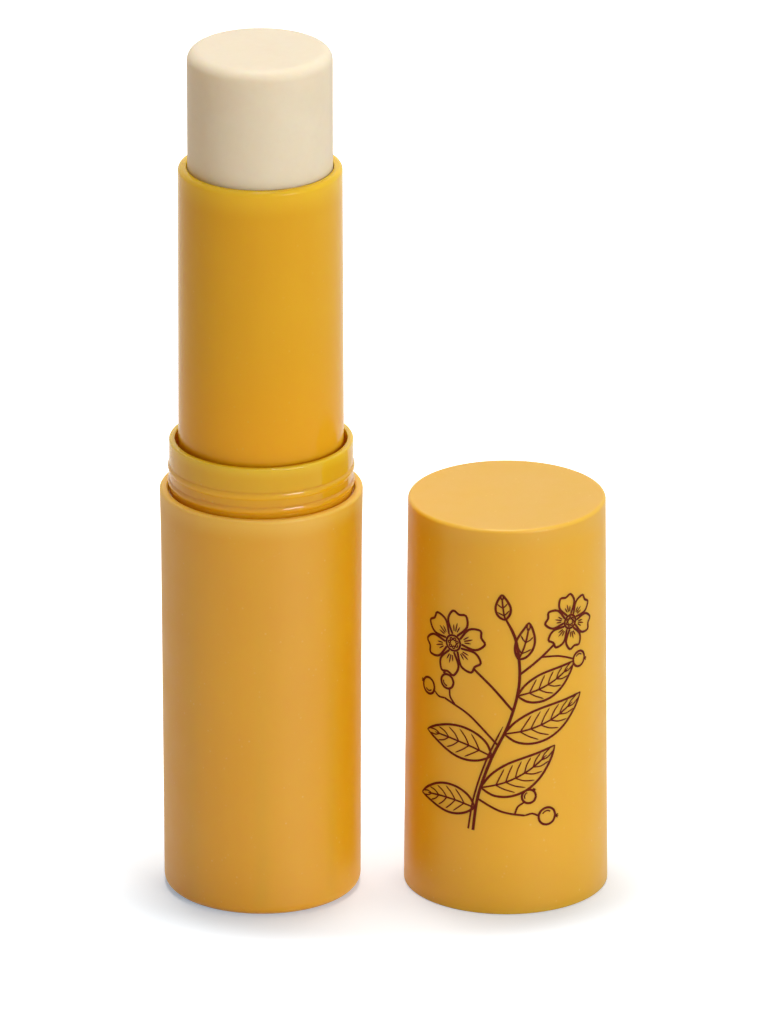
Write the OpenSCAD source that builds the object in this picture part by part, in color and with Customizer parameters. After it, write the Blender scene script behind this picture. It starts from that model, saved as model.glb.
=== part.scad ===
// Twist-up solid perfume: a moulded amber base with a long barrel that turns in it,
// a cream perfume stick that a screwed rod pushes up through the barrel, and a push-on
// cap that stands beside it, mouth down. Sizes are in millimetres. The origin is the
// middle of the base's underside, and +Z runs up the tube.

/* [Stick] */
// Diameter of the perfume stick
stick_d = 14.22; // [12:0.02:15]
// Height of the stick above the barrel's rim, as it is wound up here
stick_show = 12; // [4:0.1:16]
// Depth of the stick's top below the barrel's rim when it is wound right down
stick_recess = 0.9; // [0.4:0.1:2]
// Radius of the round along the stick's top edge
stick_round = 1.1; // [0.4:0.1:2]
// Thickness of the disc that the stick stands on
holder_disc = 1.6; // [1:0.1:2.4]
// Depth of the holder's wiping skirt below its disc
holder_skirt = 1.6; // [1.2:0.1:2.4]
// Wall of the wiping skirt
holder_skirt_wall = 0.75; // [0.5:0.05:1.2]
// Diameter of the peg that is cast into the stick's foot
peg_d = 6.4; // [6:0.1:9]
// Height of that peg
peg_h = 1.6; // [1.2:0.1:2.5]

/* [Barrel] */
// Height of the barrel above the neck
barrel_rise = 28.3; // [22:0.1:30]
// Wall of the barrel at its rim
barrel_rim_wall = 0.87; // [0.7:0.01:1.2]
// Radius that the barrel gains from its rim to its foot
barrel_taper = 0.12; // [0:0.01:0.2]
// Round of the barrel's rim, outside
barrel_rim_round = 0.45; // [0.2:0.05:0.6]
// Thickness of the keyed floor that the rod slides through
barrel_floor = 2; // [1.6:0.1:2.3]
// Height of the turning collar at the barrel's foot
collar_h = 2.3; // [2:0.1:2.6]

/* [Base] */
// Height of the base's shell, from its foot to its rim
base_height = 42; // [40:0.5:60]
// Wall of the shell at its rim
base_rim_wall = 0.8; // [0.6:0.05:1.4]
// Radius that the shell loses from its rim to its foot
base_taper = 0.26; // [0:0.01:0.3]
// Thickness of the shell's floor
base_floor = 1.4; // [1:0.1:2]
// Round along the shell's foot
foot_round = 1; // [0.4:0.1:1.3]
// Round of the shell's rim, outside
rim_round = 0.3; // [0.1:0.05:0.35]
// Number of ribs that carry the sleeve inside the shell
rib_count = 8; // [4:1:10]
// Thickness of a rib
rib_t = 0.8; // [0.6:0.1:1.2]

/* [Neck] */
// Height of the neck above the shell's rim
neck_rise = 5.1; // [4.6:0.1:8]
// Wall of the neck
neck_wall = 0.58; // [0.5:0.01:1]
// Height of the lower snap ring above the shell's rim
ring_lift = 0.7; // [0.6:0.05:1]
// Distance between the two snap rings
ring_pitch = 1.5; // [1.2:0.1:2]
// Height that a snap ring stands out of the neck
ring_h = 0.14; // [0.08:0.02:0.2]
// Radius of a snap ring's rounded back
ring_round = 0.6; // [0.4:0.05:0.8]
// Depth of the sleeve's shoulder below the shell's rim
sleeve_depth = 5.2; // [5:0.1:7]
// Depth of the face that the barrel turns on, below the shell's rim
thrust_depth = 3.8; // [3.6:0.1:4.1]
// Thickness of the ledge that carries that face
ledge_t = 1.2; // [0.8:0.1:1.3]
// Height of the bead that holds the barrel's collar down
bead_h = 1; // [0.6:0.1:1.2]

/* [Cap] */
// Wall of the cap at its mouth
cap_mouth_wall = 1; // [0.8:0.02:1.4]
// Radius that the cap loses from its mouth to its top
cap_taper = 0.39; // [0.1:0.01:0.5]
// Wall of the cap above its snap bore
cap_wall = 1.15; // [1.1:0.05:1.25]
// Thickness of the cap's closed top
cap_roof = 1.2; // [0.8:0.1:2]
// Free height between the barrel's rim and the cap's roof when it is closed
cap_headroom = 6; // [2:0.1:12]
// Round along the cap's top edge
cap_round = 0.35; // [0.2:0.05:0.9]
// Gap between the shell and the cap that stands beside it
cap_gap = 4.03; // [1:0.01:20]
// Distance that the cap stands further back than the shell
cap_back = 0.93; // [0:0.01:10]

/* [Screw] */
// Rise of the rod for each turn of the barrel
screw_lead = 6; // [4:0.5:9]
// Number of thread starts on the rod
screw_starts = 2; // [1:1:2]
// Diameter over the rod's thread
rod_d = 5.8; // [5.4:0.1:6]
// Diameter of the rod's core
rod_core_d = 4.2; // [3.8:0.1:4.4]
// Width of the rod across its two flats
rod_flats = 3.5; // [3.1:0.1:3.7]
// Width of a rod thread at its crest
crest_w = 0.9; // [0.5:0.1:1.1]
// Free height between the rod's end and the shell's floor when it is wound down
rod_floor_gap = 1.8; // [1:0.1:3]
// Height of the nut's body in its socket
nut_h = 5.4; // [4.8:0.1:7]
// Thickness of the nut's flange
nut_flange = 0.8; // [0.6:0.1:1.2]
// Wall of the nut's outer ring
nut_wall = 0.9; // [0.7:0.1:1.2]
// Diameter of the nut's threaded hub
nut_hub_d = 8.8; // [8.2:0.1:9.2]
// Diameter of the friction ring's cord
friction_cord_d = 0.7; // [0.5:0.05:0.9]

/* [Clearances] */
// Play of the stick and its holder in the barrel, on the radius
stick_play = 0.07; // [0.03:0.01:0.1]
// Open gap between the barrel and the neck, on the radius
neck_gap = 0.31; // [0.2:0.01:0.5]
// Running play of the turning collar, on the radius
turn_play = 0.07; // [0.03:0.01:0.1]
// Running play of the barrel along its axis
axial_play = 0.1; // [0.05:0.01:0.2]
// Gap between the neck and the shell's rim, on the radius
rim_gap = 0.15; // [0.1:0.01:0.3]
// Play of pieces that are pressed together, on the radius
press_play = 0.03; // [0.01:0.01:0.05]
// Play of the cap on the neck, on the radius
cap_play = 0.07; // [0.04:0.01:0.1]
// Play of the rod in the barrel's keyed floor, on each side
key_play = 0.1; // [0.05:0.01:0.15]
// Play between the flanks of the rod's and the nut's threads
thread_play = 0.15; // [0.1:0.01:0.2]
// Free height between the holder and the barrel's floor when it is wound down
holder_gap = 0.3; // [0.2:0.1:1]

/* [Hidden] */
$fn = 96;
arc_steps = 6;
turn_steps = 24;
over = 0.5;

shell_color = "#dd9f48";
sleeve_color = "#d9a036";
barrel_color = "#d8a232";
inner_color = "#efe3c8";
stick_color = "#f1e5cb";
rubber_color = "#8c6a3c";

// Radii, from the stick outwards
stick_r = stick_d / 2;
barrel_bore_r = stick_r + stick_play;
barrel_rim_r = barrel_bore_r + barrel_rim_wall;
barrel_r = barrel_rim_r + barrel_taper;
neck_bore_r = barrel_r + neck_gap;
neck_r = neck_bore_r + neck_wall;
shell_bore_r = neck_r + rim_gap;
base_rim_r = shell_bore_r + base_rim_wall;
base_foot_r = base_rim_r - base_taper;
sleeve_r = shell_bore_r - press_play;
collar_r = neck_bore_r - turn_play;
cap_bore_r = neck_r + cap_play;
cap_mouth_r = cap_bore_r + cap_mouth_wall;
cap_top_r = cap_mouth_r - cap_taper;

// Heights of the sleeve and the barrel, from the rim of the shell
seat_z = base_height - sleeve_depth;
thrust_z = base_height - thrust_depth;
socket_top = thrust_z - ledge_t;
socket_foot = socket_top - nut_h;
neck_top = base_height + neck_rise;
barrel_foot = thrust_z + axial_play;
collar_top = barrel_foot + collar_h;
bead_foot = collar_top + axial_play;
bead_top = bead_foot + bead_h;
barrel_top = neck_top + barrel_rise;
barrel_floor_top = barrel_foot + barrel_floor;

// The shell's side is straight up to the flare, which opens to the rim
flare_h = 9;
flare_share = 0.46;
flare_r = base_rim_r - base_taper * flare_share;
flare_z = base_height - flare_h;
flare_steps = 5;
rim_inner_round = 0.2;
neck_edge = 0.2;
mouth_edge = 0.15;
lead_in = 0.25;
inner_draft = 0.3;
inner_round = 0.8;
cap_stop_gap = 0.2;
squeeze_out = 0.03;

// The sleeve: its shoulder rests on the ribs, and two keys stop the nut in its socket
shoulder_w = 1.17;
socket_wall = 1.1;
socket_r = sleeve_r - shoulder_w;
socket_bore_r = socket_r - socket_wall;
ledge_w = 1.3;
ledge_r = socket_bore_r - ledge_w;
collar_step = 0.2;
neck_foot = base_height - 0.8;
key_w = 1.5;
key_h = 4.2;
key_depth = 0.55;
rib_r = socket_r + press_play;
rib_root_r = shell_bore_r + 0.2;
bead_play = 0.1;
bead_r = barrel_r + bead_play;

// The stick's carriage, in the place that it has when it is wound right down
holder_foot = barrel_floor_top + holder_gap;
disc_foot = holder_foot + holder_skirt;
disc_top = disc_foot + holder_disc;
peg_top = disc_top + peg_h;
stick_top = barrel_top - stick_recess;
rod_foot = base_floor + rod_floor_gap;
rod_collar_h = 0.8;
rod_shoulder = holder_foot + rod_collar_h;
peg_roof = 0.6;
rod_tip = peg_top - peg_roof;
hub_wall = 1.3;
hub_r = rod_d / 2 + hub_wall;
tip_edge = 0.4;
wound_up = stick_show + stick_recess;

// The screw: the rod's ridges and the nut's ridges share one helix
rod_r = rod_d / 2;
core_r = rod_core_d / 2;
thread_pitch = screw_lead / screw_starts;
flank_gain = 0.3;
thread_gap = 0.15;
root_bite = 0.2;
hide_bite = 0.03;
run_out = 0.2;
ridge_root_r = min(core_r, rod_flats / 2) - root_bite;
ridge_hide_r = rod_flats / 2 - hide_bite;
nut_bore_r = rod_r + thread_gap;
nut_crest_r = core_r + thread_gap;
nut_root_r = nut_bore_r + root_bite;
nut_web = 0.7;

// Points on a round about c, from angle a0 to a1
function arc(c, r, a0, a1) =
    [for (i = [0:arc_steps]) let (a = a0 + (a1 - a0) * i / arc_steps) c + r * [cos(a), sin(a)]];

// A low round back that stands h out of a wall at radius x, from below to above
function ring_back(x, z, h, r) =
    let (a = acos((r - h) / r)) arc([x + h - r, z], r, -a, a);

// Half the width of a rod ridge at radius r
function ridge_w(r) =
    crest_w / 2 + flank_gain * (rod_r - r) / (rod_r - ridge_root_r);

// Half the width of a nut ridge at radius r, which fills the space between two rod ridges
function nut_ridge_w(r) = thread_pitch / 2 - ridge_w(r) - thread_play;

// The rod's section: a round with two flats, grown by play
module flatted(r, across) {
    intersection() {
        circle(r);
        square([2 * r + over, across], center = true);
    }
}

// One helical ridge from height z0 to z1 between radii r_in and r_out, with the given half
// widths there. Its end rings are drawn in to end_in and end_out, so that it fades out.
// No point of it stands further out than the flat, where one is given.
module helical_ridge(z0, z1, lift, r_in, r_out, end_in, end_out, w_in, w_out, flat = 0) {
    steps = ceil((z1 - z0) / screw_lead * turn_steps);
    points = [for (i = [0:steps])
        let (z = z0 + (z1 - z0) * i / steps,
             a = (z - lift) * 360 / screw_lead,
             at_end = i == 0 || i == steps,
             inner = at_end ? end_in : r_in,
             free = at_end ? end_out : r_out,
             outer = flat > 0 ? min(free, flat / max(abs(sin(a)), 0.01)) : free)
        for (corner = [[inner, z - w_in], [outer, z - w_out], [outer, z + w_out], [inner, z + w_in]])
            [corner.x * cos(a), corner.x * sin(a), corner.y]];
    sides = [for (i = [0:steps - 1], k = [0:3])
        let (a = 4 * i + k, b = 4 * i + (k + 1) % 4)
        for (face = [[b + 4, a + 4, a], [b, b + 4, a]]) face];
    ends = [[3, 2, 1, 0], [4 * steps, 4 * steps + 1, 4 * steps + 2, 4 * steps + 3]];
    polyhedron(points, concat(ends, sides), convexity = 10);
}

// The tall outer shell, with a closed foot and ribs that carry the sleeve
module base_shell() color(shell_color) {
    rotate_extrude() polygon(concat(
        [[0, 0]],
        arc([base_foot_r - foot_round, foot_round], foot_round, -90, 0),
        [for (i = [0:flare_steps - 1]) let (t = i / flare_steps)
            [flare_r + (base_rim_r - flare_r) * t * t, flare_z + (flare_h - rim_round) * t]],
        arc([base_rim_r - rim_round, base_height - rim_round], rim_round, 0, 90),
        arc([shell_bore_r + rim_inner_round, base_height - rim_inner_round], rim_inner_round, 90, 180),
        [[shell_bore_r, seat_z - over]],
        arc([shell_bore_r - inner_draft - inner_round, base_floor + inner_round], inner_round, 0, -90),
        [[0, base_floor]]));
    for (i = [0:rib_count - 1])
        rotate(360 * i / rib_count)
            translate([rib_r, -rib_t / 2, base_floor - over])
                cube([rib_root_r - rib_r, rib_t, seat_z - base_floor + over]);
}

// The inner sleeve: its neck carries the cap, its bead holds the barrel and its socket the nut
module neck_sleeve() color(sleeve_color) {
    difference() {
        rotate_extrude() polygon(concat(
            [[socket_bore_r, socket_foot], [socket_r, socket_foot], [socket_r, seat_z],
             [sleeve_r, seat_z], [sleeve_r, neck_foot - collar_step], [neck_r, neck_foot]],
            ring_back(neck_r, base_height + ring_lift, ring_h, ring_round),
            ring_back(neck_r, base_height + ring_lift + ring_pitch, ring_h, ring_round),
            arc([neck_r - neck_edge, neck_top - neck_edge], neck_edge, 0, 90),
            arc([neck_bore_r + neck_edge / 2, neck_top - neck_edge / 2], neck_edge / 2, 90, 180),
            [[neck_bore_r, bead_top], [bead_r, bead_top - lead_in], [bead_r, bead_foot],
             [neck_bore_r, bead_foot], [neck_bore_r, thrust_z], [ledge_r, thrust_z],
             [ledge_r, socket_top], [socket_bore_r, socket_top]]));
        nut_keys(press_play);
    }
}

// The two keys of the nut, grown by play
module nut_keys(play) {
    for (side = [0, 180])
        rotate(side)
            translate([socket_bore_r - over, -key_w / 2 - play, socket_foot - play])
                cube([over + key_depth + play, key_w + 2 * play, key_h + 2 * play]);
}

// The nut: a cored moulding whose hub holds the screw's inner ridges
module drive_nut() color(inner_color) {
    body_r = socket_bore_r - press_play;
    flange_r = socket_r - press_play;
    core_floor = socket_foot + nut_web;
    foot = socket_foot - nut_flange;
    ridge_half = nut_ridge_w(nut_root_r);
    rotate_extrude() polygon([
        [nut_bore_r, foot], [flange_r, foot], [flange_r, socket_foot],
        [body_r, socket_foot], [body_r, socket_top], [body_r - nut_wall, socket_top],
        [body_r - nut_wall, core_floor], [nut_hub_d / 2, core_floor],
        [nut_hub_d / 2, socket_top], [nut_bore_r, socket_top]]);
    nut_keys(0);
    for (start = [0:screw_starts - 1])
        helical_ridge(foot + ridge_half + run_out, socket_top - ridge_half - run_out,
                      thread_pitch * (start + 0.5), nut_crest_r, nut_root_r,
                      nut_bore_r + hide_bite, nut_root_r,
                      nut_ridge_w(nut_crest_r), ridge_half);
}

// The long tube: a straight bore for the stick, a keyed floor and a turning collar
module barrel() color(barrel_color) {
    groove_mid = barrel_foot + collar_h / 2;
    groove_half = friction_cord_d / 2 + press_play;
    groove_r = collar_r + squeeze_out - friction_cord_d - press_play;
    difference() {
        rotate_extrude() polygon(concat(
            [[0, barrel_foot], [collar_r - lead_in, barrel_foot], [collar_r, barrel_foot + lead_in],
             [collar_r, groove_mid - groove_half], [groove_r, groove_mid - groove_half],
             [groove_r, groove_mid + groove_half], [collar_r, groove_mid + groove_half],
             [collar_r, collar_top], [barrel_r, collar_top]],
            arc([barrel_rim_r - barrel_rim_round, barrel_top - barrel_rim_round],
                barrel_rim_round, 0, 90),
            arc([barrel_bore_r + mouth_edge, barrel_top - mouth_edge], mouth_edge, 90, 180),
            [[barrel_bore_r, barrel_floor_top], [0, barrel_floor_top]]));
        translate([0, 0, barrel_foot - over])
            linear_extrude(barrel_floor + 2 * over)
                flatted(rod_r + key_play, rod_flats + 2 * key_play);
    }
}

// The soft ring in the collar's groove, which gives the twist its drag
module friction_ring() color(rubber_color) {
    translate([0, 0, barrel_foot + collar_h / 2])
        rotate_extrude()
            translate([collar_r + squeeze_out - friction_cord_d / 2, 0])
                circle(friction_cord_d / 2);
}

// The screwed rod: two flats slide in the barrel's floor, and the ridges run in the nut
module push_rod() color(inner_color) {
    foot = rod_foot + wound_up;
    shoulder = rod_shoulder + wound_up;
    ridge_half = ridge_w(ridge_root_r);
    intersection() {
        rotate_extrude() polygon([
            [0, foot], [core_r - tip_edge, foot], [core_r, foot + tip_edge],
            [core_r, rod_tip + wound_up], [0, rod_tip + wound_up]]);
        translate([-rod_r, -rod_flats / 2, foot - over])
            cube([rod_d, rod_flats, rod_tip - rod_foot + 2 * over]);
    }
    translate([0, 0, shoulder - rod_collar_h]) cylinder(r = rod_r, h = rod_collar_h);
    for (start = [0:screw_starts - 1])
        helical_ridge(foot + tip_edge + ridge_half, shoulder - rod_collar_h - ridge_half - run_out,
                      thread_pitch * start, ridge_root_r, rod_r,
                      ridge_root_r, ridge_hide_r, ridge_half, crest_w / 2, ridge_hide_r);
}

// The holder: a disc with a wiping skirt below, and a peg that is cast into the stick
module stick_holder() color(inner_color) {
    translate([0, 0, wound_up]) difference() {
        rotate_extrude() polygon([
            [0, rod_shoulder], [hub_r, rod_shoulder], [hub_r, disc_foot],
            [stick_r - holder_skirt_wall, disc_foot], [stick_r - holder_skirt_wall, holder_foot],
            [stick_r, holder_foot], [stick_r, disc_top], [peg_d / 2, disc_top],
            [peg_d / 2, peg_top], [0, peg_top]]);
        translate([0, 0, rod_shoulder - over])
            linear_extrude(rod_tip - rod_shoulder + over + press_play)
                flatted(core_r + press_play, rod_flats + 2 * press_play);
    }
}

// The perfume stick, cast in the barrel, with a hollow in its foot for the holder's peg
module perfume_stick() color(stick_color) {
    translate([0, 0, wound_up]) rotate_extrude() polygon(concat(
        [[0, peg_top], [peg_d / 2 + press_play, peg_top], [peg_d / 2 + press_play, disc_top],
         [stick_r, disc_top]],
        arc([stick_r - stick_round, stick_top - stick_round], stick_round, 0, 90),
        [[0, stick_top]]));
}

// The cap, standing mouth down: a snap bore, then a plain drafted inside up to the roof
module cap() color(shell_color) {
    height = neck_rise + barrel_rise + cap_headroom + cap_roof;
    roof_z = height - cap_roof;
    bore_h = neck_rise + cap_stop_gap;
    inner_foot_r = cap_mouth_r - cap_taper * bore_h / height - cap_wall;
    inner_top_r = cap_top_r - cap_wall;
    translate([base_rim_r + cap_gap + cap_mouth_r, cap_back, 0])
        rotate_extrude() polygon(concat(
            [[cap_bore_r + lead_in, 0], [cap_mouth_r - mouth_edge, 0], [cap_mouth_r, mouth_edge]],
            arc([cap_top_r - cap_round, height - cap_round], cap_round, 0, 90),
            [[0, height], [0, roof_z]],
            arc([inner_top_r - inner_round, roof_z - inner_round], inner_round, 90, 0),
            [[inner_foot_r, bore_h], [cap_bore_r, bore_h]],
            [for (i = [1, 0], p = snap_groove(ring_lift + i * ring_pitch)) p],
            [[cap_bore_r, lead_in]]));
}

// A groove in the cap's bore for one snap ring of the neck, from above to below
function snap_groove(z) =
    let (r = ring_round + cap_play,
         back = ring_back(cap_bore_r, z, ring_h, r))
    [for (i = [len(back) - 1:-1:0]) back[i]];

base_shell();
neck_sleeve();
drive_nut();
barrel();
friction_ring();
push_rod();
stick_holder();
perfume_stick();
cap();
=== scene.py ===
"""Looks of the twist-up solid perfume: amber plastics, a cream stick, and a sprig printed on the cap.

Lengths in the values below are millimetres. The turned pieces stand in for the CAD nodes of the
same shape, with true rounds, so that the glossy walls show no facets.
"""

import math

import bmesh
import bpy
from mathutils import Matrix, Vector
from mathutils.geometry import interpolate_bezier


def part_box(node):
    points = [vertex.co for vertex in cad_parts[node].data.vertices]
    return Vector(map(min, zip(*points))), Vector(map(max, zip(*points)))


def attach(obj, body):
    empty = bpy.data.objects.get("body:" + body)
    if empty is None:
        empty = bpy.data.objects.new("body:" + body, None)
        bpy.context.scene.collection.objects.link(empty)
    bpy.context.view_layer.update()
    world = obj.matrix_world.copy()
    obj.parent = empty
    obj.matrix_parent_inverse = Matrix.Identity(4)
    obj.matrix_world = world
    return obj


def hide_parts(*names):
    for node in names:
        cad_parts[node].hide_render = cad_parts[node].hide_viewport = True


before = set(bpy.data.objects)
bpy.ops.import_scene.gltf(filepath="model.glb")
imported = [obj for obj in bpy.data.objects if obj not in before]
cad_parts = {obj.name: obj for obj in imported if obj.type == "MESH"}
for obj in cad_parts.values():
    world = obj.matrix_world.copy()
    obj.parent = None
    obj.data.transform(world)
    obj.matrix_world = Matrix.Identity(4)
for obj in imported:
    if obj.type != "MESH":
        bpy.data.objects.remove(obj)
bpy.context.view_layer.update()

MM = 0.001

# Sizes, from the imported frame


def corners_mm(node):
    """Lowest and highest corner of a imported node, in millimetres."""
    low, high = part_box(node)
    return low / MM, high / MM


shell_low, shell_high = corners_mm("base_shell")
sleeve_low, sleeve_high = corners_mm("neck_sleeve")
barrel_low, barrel_high = corners_mm("barrel")
stick_low, stick_high = corners_mm("perfume_stick")
cap_low, cap_high = corners_mm("cap")

# Stick, barrel and friction ring
STICK_ROUND = 1.1
STICK_PLAY = 0.07
BARREL_EDGE = 0.15
PEG_R = 3.23
PEG_H = 1.6
RIM_WALL = 0.87
RIM_ROUND = 0.45
BARREL_TAPER = 0.12
BARREL_FLOOR = 2.0
COLLAR_H = 2.3
KEY_HOLE_R = 3.0
KEY_HOLE_HALF = 1.85
CORD_D = 0.7
CORD_PLAY = 0.03

# Shell
SHELL_WALL = 0.8
SHELL_TAPER = 0.26
SHELL_FLOOR = 1.4
FOOT_ROUND = 1.0
SHELL_RIM_ROUND = 0.3
FLARE_H = 9.0
FLARE_SHARE = 0.46
FLARE_STEPS = 6
RIM_EDGE = 0.2
SEAT_H = 0.5
INNER_DRAFT = 0.3
INNER_ROUND = 0.8
RIB_COUNT = 8
RIB_T = 0.8
RIB_ROOT = 0.2
RIB_SINK = 0.5
PRESS_PLAY = 0.03

# Neck
NECK_WALL = 0.58
RIM_GAP = 0.15
SEAM_DEPTH = 0.25
SEAM_SLOPE = 0.05
NECK_EDGE = 0.1
RING_LIFT = 0.7
RING_PITCH = 1.5
RING_H = 0.14
RING_ROUND = 0.6
# A ring's round stops just short of the wall, so that its ends stay apart from the ring's corners
RING_FIT = 0.97
SHOULDER_DEPTH = 5.2
THRUST_DEPTH = 3.8
LEDGE_T = 1.2
BEAD_H = 1.0
BEAD_PLAY = 0.1
AXIAL_PLAY = 0.1
SHOULDER_W = 1.17
SOCKET_WALL = 1.1
LEDGE_W = 1.3
KEY_W = 1.56
KEY_H = 4.23
KEY_DEPTH = 0.58
KEY_EDGE = 0.02

# Cap
CAP_TAPER = 0.39
CAP_WALL = 1.15
CAP_ROOF = 1.2
CAP_ROUND = 0.35
CAP_PLAY = 0.07
CAP_STOP_GAP = 0.2
MOUTH_EDGE = 0.15
LEAD_IN = 0.25

stick_r = stick_high.x
stick_foot = stick_low.z
stick_top = stick_high.z
barrel_bore_r = stick_r + STICK_PLAY
barrel_rim_r = barrel_bore_r + RIM_WALL
barrel_r = barrel_rim_r + BARREL_TAPER
barrel_foot = barrel_low.z
barrel_top = barrel_high.z
collar_r = barrel_high.x
shell_rim_r = shell_high.x
shell_foot_r = shell_rim_r - SHELL_TAPER
shell_top = shell_high.z
shell_bore_r = shell_rim_r - SHELL_WALL
neck_top = sleeve_high.z
sleeve_r = shell_bore_r - PRESS_PLAY
socket_r = sleeve_r - SHOULDER_W
seat_z = shell_top - SHOULDER_DEPTH
neck_r = shell_bore_r - RIM_GAP
neck_bore_r = neck_r - NECK_WALL
socket_foot = sleeve_low.z
cap_mouth_r = (cap_high.x - cap_low.x) / 2
cap_top_r = cap_mouth_r - CAP_TAPER
cap_height = cap_high.z
cap_axis = Vector(((cap_low.x + cap_high.x) / 2, (cap_low.y + cap_high.y) / 2, 0))

# Camera: place in metres, degrees below level, and lens in millimetres

CAMERA_AT = (0.01207, -1.250, 0.5236)
CAMERA_DOWN = 21.185
CAMERA_LENS = 478.8
FILM_HEIGHT = 36.0
NEAREST = 0.05
FARTHEST = 50.0

eye = bpy.data.cameras.new("product_camera")
eye.sensor_fit = "VERTICAL"
eye.sensor_height = FILM_HEIGHT
eye.lens = CAMERA_LENS
eye.clip_start = NEAREST
eye.clip_end = FARTHEST
camera = bpy.data.objects.new("product_camera", eye)
camera.location = CAMERA_AT
camera.rotation_euler = (math.radians(90 - CAMERA_DOWN), 0, 0)
bpy.context.scene.collection.objects.link(camera)
bpy.context.scene.camera = camera

# Turning on the lathe

ROUND_STEPS = 256
ROUND_CUTS = 8
# Edges that turn by more than this stay crisp
SHARP_FROM = math.radians(32)
# Long lines are cut this close to their ends
HOLD = 0.10
SHORTEST_HELD = 6 * HOLD
# Points closer than this are merged, in metres
MERGE = 1e-7
# How near a point lies to a wall that it counts as part of
NEAR = 0.01


def round_corner(section, corner, radius):
    """Rounds one corner of a section that is drawn as a line."""
    before, after = [edge.other_vert(corner) for edge in corner.link_edges]
    opening = (before.co - corner.co).angle(after.co - corner.co)
    reach = radius * MM / math.tan(opening / 2)
    bmesh.ops.bevel(section, geom=[corner], offset=reach, offset_type="OFFSET", affect="VERTICES",
                    segments=ROUND_CUTS, profile=0.5, material=-1)


def hold_ends(section):
    """Cuts each long line close to its ends, so that the flat wall beside a round shades flat."""
    for line in list(section.edges):
        length = line.calc_length()
        if length < SHORTEST_HELD * MM:
            continue
        start, end = line.verts
        share = HOLD * MM / length
        if end.co.x > HOLD * MM:
            line, start_side = bmesh.utils.edge_split(line, end, share)
            line = next(e for e in start_side.link_edges if start in e.verts)
            share = HOLD * MM / line.calc_length()
        if start.co.x > HOLD * MM:
            bmesh.utils.edge_split(line, start, share)


def turn(corners, closed):
    """Turns a section round the upright axis. A corner is (radius, height) or (radius, height, round)."""
    section = bmesh.new()
    points = [section.verts.new((c[0] * MM, 0, c[1] * MM)) for c in corners]
    for first, second in zip(points, points[1:]):
        section.edges.new((first, second))
    if closed:
        section.edges.new((points[-1], points[0]))
    for point, corner in zip(points, corners):
        if len(corner) > 2:
            round_corner(section, point, corner[2])
    hold_ends(section)
    bmesh.ops.spin(section, geom=section.verts[:] + section.edges[:], cent=(0, 0, 0), axis=(0, 0, 1),
                   angle=math.tau, steps=ROUND_STEPS, use_merge=True)
    bmesh.ops.remove_doubles(section, verts=section.verts[:], dist=MERGE)
    bmesh.ops.recalc_face_normals(section, faces=section.faces[:])
    return section


def finished(shape, name, body, material, node=None):
    """Makes a shape a piece: smooth rounds, crisp corners, its finish and the body that it rides on."""
    for face in shape.faces:
        face.smooth = True
    for edge in shape.edges:
        edge.smooth = edge.calc_face_angle(0) < SHARP_FROM
    mesh = bpy.data.meshes.new(name)
    shape.to_mesh(mesh)
    shape.free()
    mesh.materials.append(material)
    piece = bpy.data.objects.new(name, mesh)
    bpy.context.scene.collection.objects.link(piece)
    if node:
        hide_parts(node)
    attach(piece, body)
    return piece


# Finishes

# How far the roughness of the amber strays to either side
GLOSS_SPREAD = 0.05


def paint(red, green, blue):
    """A colour as it is picked on a screen, 0 to 255, in the linear light that a material takes."""
    def linear(value):
        part = value / 255
        return part / 12.92 if part <= 0.04045 else ((part + 0.055) / 1.055) ** 2.4
    return (linear(red), linear(green), linear(blue), 1)


class Nodes:
    """Small helpers that add nodes to a tree and link them."""

    def __init__(self, tree):
        self.tree = tree

    def link(self, source, target):
        self.tree.links.new(source, target)

    def span(self, value, low, high, to_low, to_high):
        """Carries a value from one range to another, and holds it there."""
        node = self.tree.nodes.new("ShaderNodeMapRange")
        node.inputs["From Min"].default_value = low
        node.inputs["From Max"].default_value = high
        node.inputs["To Min"].default_value = to_low
        node.inputs["To Max"].default_value = to_high
        self.link(value, node.inputs["Value"])
        return node.outputs["Result"]

    def soft_span(self, value, none_at, full_at):
        """0 at one value and 1 at the other, with a soft start and end."""
        node = self.tree.nodes.new("ShaderNodeMapRange")
        node.interpolation_type = "SMOOTHSTEP"
        node.inputs["From Min"].default_value = none_at
        node.inputs["From Max"].default_value = full_at
        self.link(value, node.inputs["Value"])
        return node.outputs["Result"]

    def sum(self, first, second, kind="ADD"):
        """Two values added, or joined by another kind of sum."""
        node = self.tree.nodes.new("ShaderNodeMath")
        node.operation = kind
        for slot_at, value in ((0, first), (1, second)):
            if isinstance(value, (int, float)):
                node.inputs[slot_at].default_value = value
            else:
                self.link(value, node.inputs[slot_at])
        return node.outputs["Value"]

    def blend(self, share, first, second):
        """Mixes two colours by a value. Each colour is a tuple or another node's output."""
        node = self.tree.nodes.new("ShaderNodeMix")
        node.data_type = "RGBA"
        self.link(share, node.inputs["Factor"])
        for socket, color in ((node.inputs[6], first), (node.inputs[7], second)):
            if isinstance(color, tuple):
                socket.default_value = color
            else:
                self.link(color, socket)
        return node.outputs[2]

    def rays(self):
        """1 for rays straight from the camera, and 1 for rays mirrored or passed on by a surface."""
        path = self.tree.nodes.new("ShaderNodeLightPath")
        passed_on = self.sum(path.outputs["Is Glossy Ray"], path.outputs["Is Transmission Ray"], "MAXIMUM")
        return path.outputs["Is Camera Ray"], passed_on


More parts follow.
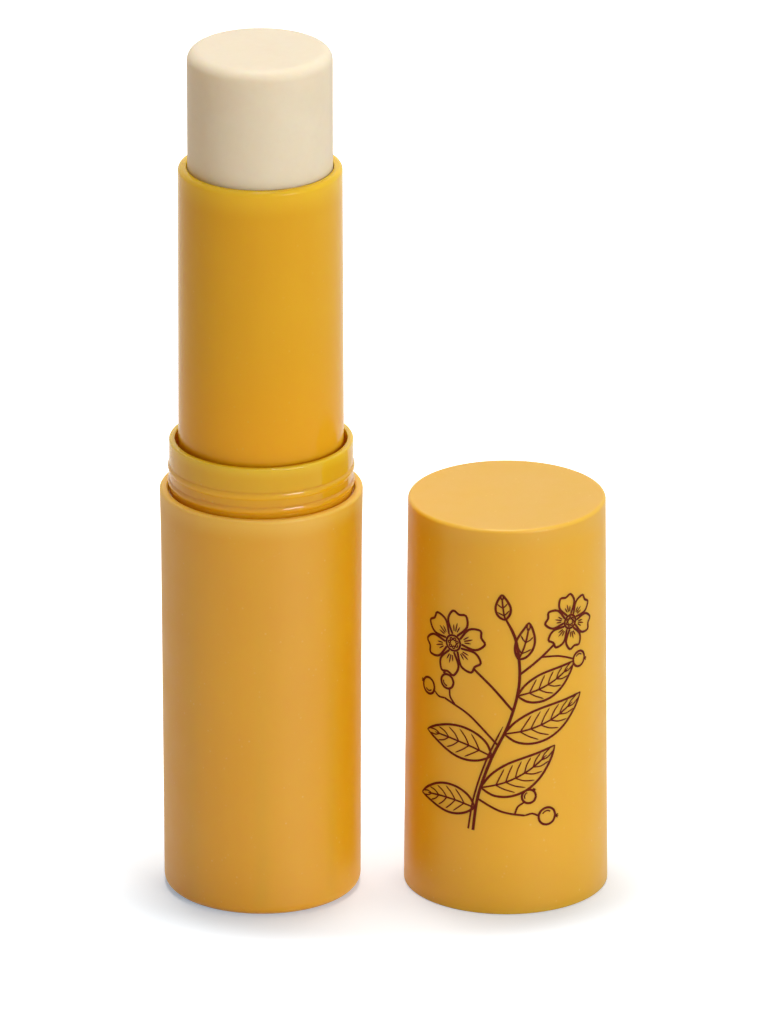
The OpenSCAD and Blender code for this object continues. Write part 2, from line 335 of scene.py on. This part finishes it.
class Finish(Nodes):
    """A material of nodes, read from Object coordinates in metres."""

    def __init__(self, name):
        self.material = bpy.data.materials.new(name)
        self.material.use_nodes = True
        super().__init__(self.material.node_tree)
        self.skin = self.tree.nodes["Principled BSDF"]
        self.place = self.tree.nodes.new("ShaderNodeTexCoord").outputs["Object"]

    def mapped(self, stretch, shift=(0, 0, 0)):
        """Object coordinates, stretched along an axis and then shifted."""
        node = self.tree.nodes.new("ShaderNodeMapping")
        node.inputs["Scale"].default_value = stretch
        node.inputs["Location"].default_value = shift
        self.link(self.place, node.inputs["Vector"])
        return node.outputs["Vector"]

    def noise(self, size_mm, detail=2.0, rough=0.5, stretch=(1, 1, 1), bend=0.0):
        """Cloudy noise whose features are about size_mm across."""
        node = self.tree.nodes.new("ShaderNodeTexNoise")
        node.inputs["Scale"].default_value = 1 / (size_mm * MM)
        node.inputs["Detail"].default_value = detail
        node.inputs["Roughness"].default_value = rough
        node.inputs["Distortion"].default_value = bend
        self.link(self.mapped(stretch), node.inputs["Vector"])
        return node.outputs["Fac"]

    def specks(self, size_mm, reach):
        """Sparse round specks: 1 in the middle of a speck and 0 away from it."""
        node = self.tree.nodes.new("ShaderNodeTexVoronoi")
        node.inputs["Scale"].default_value = 1 / (size_mm * MM)
        self.link(self.place, node.inputs["Vector"])
        return self.span(node.outputs["Distance"], 0.0, reach, 1.0, 0.0)

    def height(self):
        """Height above the ground, in metres."""
        node = self.tree.nodes.new("ShaderNodeSeparateXYZ")
        self.link(self.place, node.inputs["Vector"])
        return node.outputs["Z"]

    def bump(self, value, depth_mm, under=None):
        """Raises the surface by a value. under is a coarser bump that lies below it."""
        node = self.tree.nodes.new("ShaderNodeBump")
        node.inputs["Strength"].default_value = 1.0
        node.inputs["Distance"].default_value = depth_mm * MM
        self.link(value, node.inputs["Height"])
        if under is not None:
            self.link(under, node.inputs["Normal"])
        return node.outputs["Normal"]

    def mottle(self, clouds, fine):
        """Clouds with a finer pattern over them, as a share from 0 to 1."""
        mixed = self.sum(self.sum(clouds, 0.7, "MULTIPLY"), self.sum(fine, 0.3, "MULTIPLY"))
        return self.span(mixed, 0.30, 0.70, 0.0, 1.0)

    def vary(self, color, roughness, normal):
        """Links what varies over the surface to the surface's own sockets."""
        self.link(color, self.skin.inputs["Base Color"])
        self.link(roughness, self.skin.inputs["Roughness"])
        self.link(normal, self.skin.inputs["Normal"])

    def set(self, **values):
        """Sets plain numbers on the surface's own sockets. An underscore in a name is a blank."""
        for name, value in values.items():
            self.skin.inputs[name.replace("_", " ")].default_value = value


def amber_plastic(name, light, deep, pale, gloss, grain_mm, grain_depth, glow_mm, drag, shine, painted_light_zones):
    """Moulded amber plastic, slightly see-through: soft clouds, faint flow lines, specks and a grain.

    A zone is (height where it fades out, height where it is full, colour) and paints light into the
    colour: a lighter band under a rim or top edge is painted glow, and a warmer, deeper band lower
    down is painted warm light and shade.
    """
    finish = Finish(name)
    clouds = finish.noise(9.0, stretch=(1, 1, 0.7))
    flow = finish.noise(1.6, rough=0.6, stretch=(1, 1, drag))
    body = finish.blend(finish.mottle(clouds, flow), deep, light)
    # Painted light and shade: each zone blends a painted band into the colour by height
    for faded, full, color in painted_light_zones:
        share = finish.soft_span(finish.height(), faded * MM, full * MM)
        body = finish.blend(share, body, color)
    dust = finish.specks(0.85, reach=0.17)
    rare = finish.span(finish.noise(2.2, detail=1.0), 0.48, 0.62, 0.0, 0.9)
    haze = finish.noise(3.5, detail=3.0, rough=0.6)
    soft = finish.bump(finish.noise(4.5, detail=1.0, stretch=(1, 1, 0.5)), 0.020)
    grain = finish.noise(grain_mm, rough=0.65)
    finish.vary(color=finish.blend(finish.sum(dust, rare, "MULTIPLY"), body, pale),
                roughness=finish.span(haze, 0.3, 0.7, gloss - GLOSS_SPREAD, gloss + GLOSS_SPREAD),
                normal=finish.bump(grain, grain_depth, under=soft))
    finish.set(Subsurface_Weight=0.9, Subsurface_Radius=(1.0, 0.9, 0.3),
               Subsurface_Scale=glow_mm * MM, IOR=1.49, Specular_IOR_Level=shine)
    return finish.material


def shell_plastic():
    """Satin amber of the shell."""
    return amber_plastic(
        "shell_plastic", light=paint(232, 174, 14), deep=paint(229, 168, 11), pale=paint(238, 194, 92),
        gloss=0.46, grain_mm=0.16, grain_depth=0.0055, glow_mm=0.8, drag=0.12, shine=0.64,
        # Painted glow: a paler band just under the rim, for light that enters the thin rim from above
        painted_light_zones=[(shell_top - 2.4, shell_top - 0.2, paint(238, 190, 64))])


def cap_plastic():
    """The same satin amber on the cap, whose thin hollow wall lets more light through."""
    return amber_plastic(
        "cap_plastic", light=paint(239, 184, 30), deep=paint(236, 179, 26), pale=paint(242, 200, 92),
        gloss=0.42, grain_mm=0.16, grain_depth=0.0036, glow_mm=1.1, drag=0.12, shine=0.52,
        # Painted glow: a paler band over the top and down its edge, for light that enters the top
        painted_light_zones=[(cap_height - 2.6, cap_height - 0.3, paint(232, 183, 52)),
               # Painted shade: darker towards the mouth
               (9.0, 0.0, paint(230, 177, 26))])


def sleeve_plastic():
    """Polished amber of the neck: painted shade deepens it by the shell, and a painted glow lightens its
    top.
    """
    return amber_plastic(
        "sleeve_plastic", light=paint(239, 184, 24), deep=paint(236, 179, 20), pale=paint(238, 190, 66),
        gloss=0.09, grain_mm=0.30, grain_depth=0.0006, glow_mm=1.2, drag=0.10, shine=0.38,
        # Painted shade and warm cast: deeper orange just above the shell's rim
        painted_light_zones=[(shell_top + 3.4, shell_top + 0.4, paint(241, 172, 22)),
               # Painted glow: a paler band at the top of the neck
               (neck_top - 1.3, neck_top - 0.1, paint(242, 196, 38))])


def barrel_plastic():
    """Polished amber of the barrel, with painted warm light towards its foot and a painted glow under its
    rim.
    """
    return amber_plastic(
        "barrel_plastic", light=paint(236, 182, 34), deep=paint(233, 176, 30), pale=paint(238, 190, 56),
        gloss=0.14, grain_mm=0.30, grain_depth=0.0006, glow_mm=0.9, drag=0.08, shine=0.18,
        # Painted warm light: warmer towards the foot, above the neck
        painted_light_zones=[(neck_top + 15.0, neck_top + 0.5, paint(241, 177, 26)),
               # Painted glow: a paler band under the rim, for light that enters the thin rim
               (barrel_top - 3.0, barrel_top - 0.3, paint(245, 198, 44))])


def perfume_wax():
    """Cream wax: cloudy, soft to the light, with shallow pits and faint rings from casting."""
    finish = Finish("perfume_wax")
    clouds = finish.noise(5.0, detail=4.0, rough=0.55, bend=0.6)
    fine = finish.noise(0.7, detail=3.0, rough=0.6)
    body = finish.blend(finish.mottle(clouds, fine), paint(239, 226, 200), paint(243, 232, 208))
    pits = finish.specks(0.9, reach=0.10)
    few = finish.span(finish.noise(1.8, detail=1.0), 0.50, 0.64, 0.0, 0.5)
    pits_with_painted_shade = finish.sum(pits, few, "MULTIPLY")
    soft = finish.bump(finish.noise(2.6), 0.030)
    rings = finish.bump(finish.noise(0.5, detail=1.0, stretch=(0.15, 0.15, 1)), 0.004, under=soft)
    # The pits are also painted darker: painted shade in them
    finish.vary(color=finish.blend(pits_with_painted_shade, body, paint(228, 211, 178)),
                roughness=finish.span(clouds, 0.3, 0.7, 0.46, 0.58),
                normal=finish.bump(finish.sum(fine, pits_with_painted_shade, "SUBTRACT"), 0.006, under=rings))
    finish.set(Subsurface_Weight=0.55, Subsurface_Radius=(1.0, 0.7, 0.4), Subsurface_Scale=1.6 * MM,
               IOR=1.44, Specular_IOR_Level=0.3)
    return finish.material


def inner_plastic():
    """Natural plastic of the screw pieces: a dull cast, a faint warm tint and a fine tool mark."""
    finish = Finish("inner_plastic")
    clouds = finish.noise(3.0, detail=3.0)
    body = finish.blend(finish.span(clouds, 0.35, 0.65, 0.0, 1.0), paint(232, 220, 192),
                        paint(241, 231, 208))
    dust = finish.specks(0.6, reach=0.12)
    finish.vary(color=finish.blend(finish.sum(dust, 0.35, "MULTIPLY"), body, paint(206, 190, 156)),
                roughness=finish.span(clouds, 0.3, 0.7, 0.42, 0.56),
                normal=finish.bump(finish.noise(0.25, stretch=(1, 1, 0.25)), 0.004))
    finish.set(Subsurface_Weight=0.2, Subsurface_Radius=(1.0, 0.8, 0.5), Subsurface_Scale=0.8 * MM,
               IOR=1.5)
    return finish.material


def ring_silicone():
    """Greased silicone of the friction ring."""
    finish = Finish("ring_silicone")
    clouds = finish.noise(1.2, detail=3.0)
    finish.vary(color=finish.blend(finish.span(clouds, 0.35, 0.65, 0.0, 1.0), paint(128, 96, 54),
                                   paint(146, 112, 66)),
                roughness=finish.span(clouds, 0.3, 0.7, 0.18, 0.40),
                normal=finish.bump(finish.noise(0.2), 0.005))
    finish.set(Sheen_Weight=0.1, IOR=1.42)
    return finish.material


def sprig_ink():
    """Dark red-brown ink, a little thinner here and there."""
    finish = Finish("sprig_ink")
    thin = finish.noise(0.5, detail=3.0, rough=0.6)
    finish.vary(color=finish.blend(finish.span(thin, 0.35, 0.70, 0.0, 1.0), paint(92, 22, 4),
                                   paint(112, 34, 8)),
                roughness=finish.span(thin, 0.3, 0.7, 0.38, 0.55),
                normal=finish.bump(finish.noise(0.12, detail=1.0), 0.002))
    finish.set(IOR=1.48, Specular_IOR_Level=0.12)
    return finish.material


shell_finish = shell_plastic()
cap_finish = cap_plastic()
sleeve_finish = sleeve_plastic()
barrel_finish = barrel_plastic()
wax_finish = perfume_wax()
inner_finish = inner_plastic()
silicone_finish = ring_silicone()
ink_finish = sprig_ink()

# The tube


def make_shell():
    """The outer shell: a closed foot, a side that opens a little to the rim, and the sleeve's ribs."""
    flare_r = shell_rim_r - SHELL_TAPER * FLARE_SHARE
    flare_z = shell_top - FLARE_H
    flare = []
    for i in range(FLARE_STEPS):
        t = i / FLARE_STEPS
        flare.append((flare_r + (shell_rim_r - flare_r) * t * t,
                      flare_z + (FLARE_H - SHELL_RIM_ROUND) * t))
    shape = turn(
        [(0, 0), (shell_foot_r, 0, FOOT_ROUND)] + flare
        + [(shell_rim_r, shell_top, SHELL_RIM_ROUND), (shell_bore_r, shell_top, RIM_EDGE),
           (shell_bore_r, seat_z - SEAT_H), (shell_bore_r - INNER_DRAFT, SHELL_FLOOR, INNER_ROUND),
           (0, SHELL_FLOOR)],
        closed=False)
    rib_from = socket_r + PRESS_PLAY
    rib_to = shell_bore_r + RIB_ROOT
    rib_foot = SHELL_FLOOR - RIB_SINK
    rib_h = seat_z - rib_foot
    for i in range(RIB_COUNT):
        rib = bmesh.ops.create_cube(shape, size=MM)
        about = Matrix.Rotation(math.tau * i / RIB_COUNT, 4, "Z")
        middle = Vector(((rib_from + rib_to) / 2, 0, rib_foot + rib_h / 2)) * MM
        bmesh.ops.scale(shape, vec=(rib_to - rib_from, RIB_T, rib_h), verts=rib["verts"])
        bmesh.ops.translate(shape, vec=middle, verts=rib["verts"])
        bmesh.ops.transform(shape, matrix=about, verts=rib["verts"])
    return finished(shape, "outer_shell", "base", shell_finish, "base_shell")


def ring_corners(wall_r, z, ring_round):
    """The three corners of a low ring on a wall, whose peak takes the ring's round."""
    middle = ring_round - RING_H
    half = math.sqrt(ring_round ** 2 - middle ** 2)
    peak = ring_round ** 2 / middle - middle
    return [(wall_r, z - half), (wall_r + peak, z, ring_round * RING_FIT), (wall_r, z + half)]


def make_neck():
    """The inner sleeve: neck, snap rings, bead, ledge, and the socket with its two key slots."""
    socket_bore_r = socket_r - SOCKET_WALL
    thrust_z = shell_top - THRUST_DEPTH
    socket_top = thrust_z - LEDGE_T
    neck_foot = shell_top - SEAM_DEPTH
    bead_r = barrel_r + BEAD_PLAY
    bead_foot = barrel_foot + COLLAR_H + AXIAL_PLAY
    bead_top = bead_foot + BEAD_H
    slot_top = socket_foot + KEY_H
    shape = turn(
        [(socket_bore_r, socket_foot), (socket_r, socket_foot), (socket_r, seat_z), (sleeve_r, seat_z),
         (sleeve_r, neck_foot - SEAM_SLOPE), (neck_r, neck_foot)]
        + ring_corners(neck_r, shell_top + RING_LIFT, RING_ROUND)
        + ring_corners(neck_r, shell_top + RING_LIFT + RING_PITCH, RING_ROUND)
        + [(neck_r, neck_top, RIM_EDGE), (neck_bore_r, neck_top, NECK_EDGE), (neck_bore_r, bead_top),
           (bead_r, bead_top - LEAD_IN), (bead_r, bead_foot), (neck_bore_r, bead_foot),
           (neck_bore_r, thrust_z), (socket_bore_r - LEDGE_W, thrust_z),
           (socket_bore_r - LEDGE_W, socket_top), (socket_bore_r, socket_top),
           (socket_bore_r, slot_top + KEY_EDGE), (socket_bore_r, slot_top)],
        closed=True)
    for point in shape.verts:
        on_bore = abs(Vector((point.co.x, point.co.y)).length - socket_bore_r * MM) < NEAR * MM
        in_slot = abs(point.co.y) <= KEY_W / 2 * MM and point.co.z <= (slot_top + NEAR) * MM
        if on_bore and in_slot:
            point.co.x += math.copysign(KEY_DEPTH * MM, point.co.x)
    return finished(shape, "neck", "base", sleeve_finish, "neck_sleeve")


def make_barrel():
    """The long barrel: a straight bore, a thin rounded rim, a turning collar and a keyed floor."""
    floor_top = barrel_foot + BARREL_FLOOR
    groove_mid = barrel_foot + COLLAR_H / 2
    groove_half = CORD_D / 2 + CORD_PLAY
    groove_r = collar_r - CORD_D
    collar_top = barrel_foot + COLLAR_H
    shape = turn(
        [(KEY_HOLE_R, barrel_foot), (collar_r - LEAD_IN, barrel_foot), (collar_r, barrel_foot + LEAD_IN),
         (collar_r, groove_mid - groove_half), (groove_r, groove_mid - groove_half),
         (groove_r, groove_mid + groove_half), (collar_r, groove_mid + groove_half),
         (collar_r, collar_top), (barrel_r, collar_top), (barrel_rim_r, barrel_top, RIM_ROUND),
         (barrel_bore_r, barrel_top, BARREL_EDGE), (barrel_bore_r, floor_top), (KEY_HOLE_R, floor_top)],
        closed=True)
    for point in shape.verts:
        if Vector((point.co.x, point.co.y)).length < (KEY_HOLE_R + NEAR) * MM:
            point.co.y = max(-KEY_HOLE_HALF * MM, min(KEY_HOLE_HALF * MM, point.co.y))
    return finished(shape, "long_barrel", "barrel", barrel_finish, "barrel")


def make_stick():
    """The cream stick, with the hollow that the holder's peg fills."""
    shape = turn(
        [(0, stick_foot + PEG_H), (PEG_R, stick_foot + PEG_H), (PEG_R, stick_foot),
         (stick_r, stick_foot), (stick_r, stick_top, STICK_ROUND), (0, stick_top)],
        closed=False)
    return finished(shape, "cream_stick", "stick", wax_finish, "perfume_stick")


def make_cap():
    """The cap, mouth down: a snap bore with two grooves, then a plain drafted inside."""
    bore_r = neck_r + CAP_PLAY
    bore_h = neck_top - shell_top + CAP_STOP_GAP
    roof_z = cap_height - CAP_ROOF
    inner_foot_r = cap_mouth_r - CAP_TAPER * bore_h / cap_height - CAP_WALL
    inner_top_r = cap_top_r - CAP_WALL
    groove_round = RING_ROUND + CAP_PLAY
    shape = turn(
        [(0, cap_height), (cap_top_r, cap_height, CAP_ROUND), (cap_mouth_r, 0, MOUTH_EDGE),
         (bore_r + LEAD_IN, 0), (bore_r, LEAD_IN)]
        + ring_corners(bore_r, RING_LIFT, groove_round)
        + ring_corners(bore_r, RING_LIFT + RING_PITCH, groove_round)
        + [(bore_r, bore_h), (inner_foot_r, bore_h), (inner_top_r, roof_z, INNER_ROUND), (0, roof_z)],
        closed=False)
    bmesh.ops.translate(shape, vec=cap_axis * MM, verts=shape.verts[:])
    return finished(shape, "push_on_cap", "base", cap_finish, "cap")


def dress(node, material):
    """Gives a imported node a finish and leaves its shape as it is."""
    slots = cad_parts[node].data.materials
    slots.clear()
    slots.append(material)


make_shell()
make_neck()
make_barrel()
make_stick()
make_cap()
for inner_node in ("drive_nut", "push_rod", "stick_holder"):
    dress(inner_node, inner_finish)
dress("friction_ring", silicone_finish)

# The sprig printed on the cap

PRINT_LIFT = 0.012
PRINT_T = 0.02
PRINT_STEP = 0.28
LINE = 0.24
VEIN = 0.14
# How fast a line reaches its full width from a thin end
SWELL = 5
PETALS = 6
EYE_BEADS = 7


class Sprig:
    """Inked lines on the cap. A place is (mm round the cap from its front, mm above the ground)."""

    def __init__(self):
        self.shape = bmesh.new()

    def line(self, points, width, thin_start=0.35, thin_end=0.35):
        """A ribbon along a smooth line through the points, thinner at its ends."""
        path = smooth_path(points)
        count = len(path)
        edge = None
        for i, at in enumerate(path):
            ahead = path[min(i + 1, count - 1)] - path[max(i - 1, 0)]
            side = Vector((-ahead.y, ahead.x)).normalized()
            along = i / (count - 1)
            share = min(1, thin_start + along * SWELL, thin_end + (1 - along) * SWELL)
            half = side * width * share / 2
            places = [Vector((*(at - half), 0)), Vector((*(at + half), 0))]
            if edge is None:
                ends = [self.shape.verts.new(place) for place in places]
                edge = self.shape.edges.new(ends)
                continue
            before = list(edge.verts)
            grown = bmesh.ops.extrude_edge_only(self.shape, edges=[edge])["geom"]
            edge = next(item for item in grown if isinstance(item, bmesh.types.BMEdge))
            after = list(edge.verts)
            ends = [after[before.index(end)] for end in ends]
            for end, place in zip(ends, places):
                end.co = place

    def wrap(self):
        """Bends the flat drawing round the cap and gives it the thickness of the ink."""
        for point in self.shape.verts:
            round_mm, z = point.co.x, point.co.y
            radius = cap_mouth_r - CAP_TAPER * z / cap_height + PRINT_LIFT
            turn_by = round_mm / radius
            point.co = Vector((cap_axis.x + radius * math.sin(turn_by),
                               cap_axis.y - radius * math.cos(turn_by), z)) * MM
        bmesh.ops.recalc_face_normals(self.shape, faces=self.shape.faces[:])
        for face in self.shape.faces:
            outward = face.calc_center_median() - cap_axis * MM
            if face.normal.x * outward.x + face.normal.y * outward.y < 0:
                face.normal_flip()
        bmesh.ops.solidify(self.shape, geom=self.shape.faces[:], thickness=PRINT_T * MM)
        return self.shape


def smooth_path(points):
    """Evenly close points on a smooth line through the given ones."""
    spots = [Vector(p) for p in points]
    if len(spots) == 2:
        count = max(2, math.ceil((spots[1] - spots[0]).length / PRINT_STEP)) + 1
        return [spots[0].lerp(spots[1], i / (count - 1)) for i in range(count)]
    path = [spots[0]]
    for i in range(len(spots) - 1):
        start, end = spots[i], spots[i + 1]
        lead = spots[i - 1] if i else start
        follow = spots[i + 2] if i + 2 < len(spots) else end
        count = max(2, math.ceil((end - start).length / PRINT_STEP)) + 1
        path += interpolate_bezier(start, start + (end - lead) / 6, end - (follow - start) / 6, end,
                                   count)[1:]
    return [Vector(p[:2]) for p in path]


def turned_by(degrees, length):
    """A step of that length in that direction. 0 is to the right and 90 is up."""
    return Vector((math.cos(math.radians(degrees)), math.sin(math.radians(degrees)))) * length


def leaf(sprig, foot, heading, length, breadth, bend, veins):
    """A pointed leaf: its outline, midrib and side veins. bend turns its tip aside, in degrees."""
    foot = Vector(foot)

    def on_rib(share):
        return foot + turned_by(heading + bend * share * 0.5, length * share)

    def edge_at(share, side):
        swell = math.sin(math.pi * share ** 0.8) ** 0.9 if 0 < share < 1 else 0
        return on_rib(share) + turned_by(heading + bend * share + 90 * side, breadth / 2 * swell)

    stops = [0, 0.12, 0.28, 0.46, 0.64, 0.82, 0.94, 1]
    for side in (1, -1):
        sprig.line([edge_at(stop, side) for stop in stops], LINE, 0.6, 0.5)
    sprig.line([on_rib(stop) for stop in (0, 0.3, 0.6, 0.86)], VEIN * 1.3, 1.0, 0.3)
    for i in range(veins):
        start = 0.18 + 0.6 * i / max(veins - 1, 1)
        for side in (1, -1):
            tip = on_rib(start + 0.16).lerp(edge_at(min(start + 0.17, 0.96), side), 0.82)
            mid = on_rib(start + 0.06).lerp(edge_at(min(start + 0.09, 0.9), side), 0.42)
            sprig.line([on_rib(start), mid, tip], VEIN, 1.0, 0.2)


def ring_line(sprig, middle, radius, width, start=0, sweep=360):
    """A round line, or a part of one."""
    count = max(4, math.ceil(abs(sweep) / 40))
    turns = [start + sweep * i / count for i in range(count + 1)]
    sprig.line([middle + turned_by(turn_at, radius) for turn_at in turns], width, 1.0, 1.0)


def berry(sprig, stem_from, middle, radius):
    """A round berry on a short stalk, with a small dry tip and a curved shine line."""
    middle = Vector(middle)
    stem_from = Vector(stem_from)
    towards = (middle - stem_from).normalized()
    meet = middle - towards * radius
    side = Vector((-towards.y, towards.x))
    sprig.line([stem_from, stem_from.lerp(meet, 0.5) + side * 0.25, meet], LINE * 0.8, 0.8, 0.8)
    ring_line(sprig, middle, radius, LINE)
    away = math.degrees(math.atan2(towards.y, towards.x))
    ring_line(sprig, middle, radius * 0.62, VEIN, start=away + 60, sweep=95)
    tip = middle + towards * radius
    for turn_by in (-32, 0, 32):
        sprig.line([tip, tip + turned_by(away + turn_by, radius * 0.42)], VEIN, 1.0, 0.5)


def blossom(sprig, middle, radius, lean):
    """An open wild blossom seen from the front: rounded notched petals round a beaded eye."""
    middle = Vector(middle)
    eye_r = radius * 0.24
    half = 180 / PETALS
    petal_edge = [(-0.55, eye_r * 1.15), (-0.88, radius * 0.72), (-0.42, radius), (0, radius * 0.93),
                  (0.42, radius), (0.88, radius * 0.72), (0.55, eye_r * 1.15)]
    for i in range(PETALS):
        heading = lean + 360 * i / PETALS
        outline = [middle + turned_by(heading + half * share, reach) for share, reach in petal_edge]
        sprig.line(outline, LINE, 0.8, 0.8)
        for share in (-0.26, 0, 0.26):
            near = middle + turned_by(heading + half * share, radius * 0.38)
            far = middle + turned_by(heading + half * share * 1.4, radius * (0.66 - abs(share) * 0.3))
            sprig.line([near, far], VEIN, 0.8, 0.2)
    ring_line(sprig, middle, eye_r, LINE * 0.9)
    for i in range(EYE_BEADS):
        bead = middle + turned_by(lean + 360 * i / EYE_BEADS, eye_r * 0.55)
        ring_line(sprig, bead, eye_r * 0.16, VEIN)


def draw_sprig():
    """A leafy sprig that climbs from the lower left to the upper right, with blossoms and berries."""
    sprig = Sprig()
    stem = [(-3.4, 8.8), (-2.9, 12.4), (-1.6, 16.4), (0.2, 20.4), (1.2, 24.6), (0.9, 28.8), (-0.2, 31.4)]
    sprig.line(stem, LINE * 1.25, 1.0, 0.6)
    sprig.line([(-3.9, 8.9), (-3.3, 12.4), (-2.1, 16.2), (-0.4, 20.0)], LINE * 0.8, 1.0, 0.3)
    leaf(sprig, (-3.2, 11.2), 162, 6.6, 3.0, 34, veins=5)
    leaf(sprig, (-2.6, 13.4), 10, 8.6, 3.4, 38, veins=6)
    leaf(sprig, (-1.5, 16.8), 154, 7.6, 3.3, 30, veins=5)
    leaf(sprig, (-0.3, 19.2), 4, 9.0, 3.4, 34, veins=6)
    leaf(sprig, (1.0, 23.2), 8, 6.8, 2.8, 32, veins=5)
    leaf(sprig, (-0.2, 31.2), 104, 2.7, 1.5, -14, veins=3)
    leaf(sprig, (1.1, 27.0), 62, 4.0, 1.9, 26, veins=3)
    sprig.line([(0.6, 21.6), (-1.4, 24.0), (-3.4, 25.9)], LINE, 1.0, 1.0)
    blossom(sprig, (-5.6, 28.2), 3.4, 18)
    sprig.line([(1.2, 25.4), (3.2, 26.9), (4.9, 28.3)], LINE, 1.0, 1.0)
    blossom(sprig, (6.7, 30.2), 2.9, 42)
    sprig.line([(-0.9, 18.0), (-3.8, 20.9), (-6.6, 22.2)], LINE * 0.9, 1.0, 0.8)
    berry(sprig, (-6.6, 22.2), (-8.8, 22.9), 0.85)
    berry(sprig, (-5.4, 21.8), (-6.3, 24.0), 0.75)
    sprig.line([(-2.9, 12.2), (-0.6, 11.0), (1.8, 10.5)], LINE * 0.9, 1.0, 0.8)
    berry(sprig, (1.8, 10.5), (4.1, 10.2), 0.9)
    berry(sprig, (0.8, 10.7), (2.2, 12.5), 0.72)
    berry(sprig, (3.4, 27.1), (7.9, 26.0), 0.8)
    return finished(sprig.wrap(), "printed_sprig", "base", ink_finish)


draw_sprig()

# Floor, light and surroundings

FLOOR_R = 4.0
FLOOR_COLOR = (0.90, 0.85, 0.79, 1)
FLOOR_GLOW = 0.29
MIRROR_GLOW = 0.24
GLOW_COLOR = (0.60, 1.0, 1.36, 1)
PAIR_MIDDLE = cap_axis.x / 2
PAIR_STRETCH = 0.55
SHADOW_FROM = 13.0
SHADOW_TO = 25.0
SKY_LIGHT = 0.19
SKY_COLOR = (1.0, 0.70, 0.43, 1)
WHITE = (1, 1, 1, 1)
LAMP_AIM = Vector((12, 0, 40))


def pale_floor():
    """A plain white floor that keeps the object's shadow.

    It glows only to the camera and in what a surface mirrors or passes on. Round the tube and the cap
    the glow is faint and cool, so that their shadows show and the amber's warm cast on them is evened
    out, and from a little farther out it is plain white.
    """
    shape = bmesh.new()
    bmesh.ops.create_circle(shape, cap_ends=True, segments=96, radius=FLOOR_R)
    mesh = bpy.data.meshes.new("floor")
    shape.to_mesh(mesh)
    shape.free()
    finish = Finish("floor_white")
    finish.set(Base_Color=FLOOR_COLOR, Roughness=0.9, Specular_IOR_Level=0.0)
    length = finish.tree.nodes.new("ShaderNodeVectorMath")
    length.operation = "LENGTH"
    from_middle = finish.mapped((PAIR_STRETCH, 1, 1), (-PAIR_MIDDLE * PAIR_STRETCH * MM, 0, 0))
    finish.link(from_middle, length.inputs[0])
    away = finish.soft_span(length.outputs["Value"], SHADOW_FROM * MM, SHADOW_TO * MM)
    straight, passed_on = finish.rays()
    seen = finish.sum(finish.span(away, 0.0, 1.0, FLOOR_GLOW, 1.0), straight, "MULTIPLY")
    mirrored = finish.sum(passed_on, MIRROR_GLOW, "MULTIPLY")
    finish.link(finish.sum(seen, mirrored), finish.skin.inputs["Emission Strength"])
    finish.link(finish.blend(away, GLOW_COLOR, WHITE), finish.skin.inputs["Emission Color"])
    mesh.materials.append(finish.material)
    floor = bpy.data.objects.new("floor", mesh)
    bpy.context.scene.collection.objects.link(floor)


def surroundings():
    """White for what is seen or mirrored, and a moderate warm light for the rest."""
    world = bpy.data.worlds.new("surroundings")
    world.use_nodes = True
    nodes = Nodes(world.node_tree)
    sky = world.node_tree.nodes["Background"]
    straight, passed_on = nodes.rays()
    seen = nodes.sum(straight, passed_on, "MAXIMUM")
    nodes.link(nodes.blend(seen, SKY_COLOR, WHITE), sky.inputs["Color"])
    nodes.link(nodes.span(seen, 0.0, 1.0, SKY_LIGHT, 1.0), sky.inputs["Strength"])
    bpy.context.scene.world = world


def softbox(name, side, up, distance, wide, tall, watts, tint=(1, 1, 1)):
    """A soft light, in metres. side is degrees right of the camera, and up is degrees above level."""
    light = bpy.data.lights.new(name, "AREA")
    light.shape = "RECTANGLE"
    light.size = wide
    light.size_y = tall
    light.energy = watts
    light.color = tint
    lamp = bpy.data.objects.new(name, light)
    turn_by = math.radians(side)
    rise = math.radians(up)
    away = Vector((math.sin(turn_by) * math.cos(rise), -math.cos(turn_by) * math.cos(rise),
                   math.sin(rise)))
    lamp.location = LAMP_AIM * MM + away * distance
    lamp.rotation_euler = away.to_track_quat("Z", "Y").to_euler()
    bpy.context.scene.collection.objects.link(lamp)


pale_floor()
surroundings()
softbox("key_softbox", side=38.5, up=8.5, distance=1.3, wide=0.55, tall=0.25, watts=7.5,
        tint=(0.92, 1.01, 1.07))
softbox("top_softbox", side=178, up=84, distance=1.3, wide=0.35, tall=0.35, watts=12.8)
bpy.context.scene.view_settings.view_transform = "Standard"
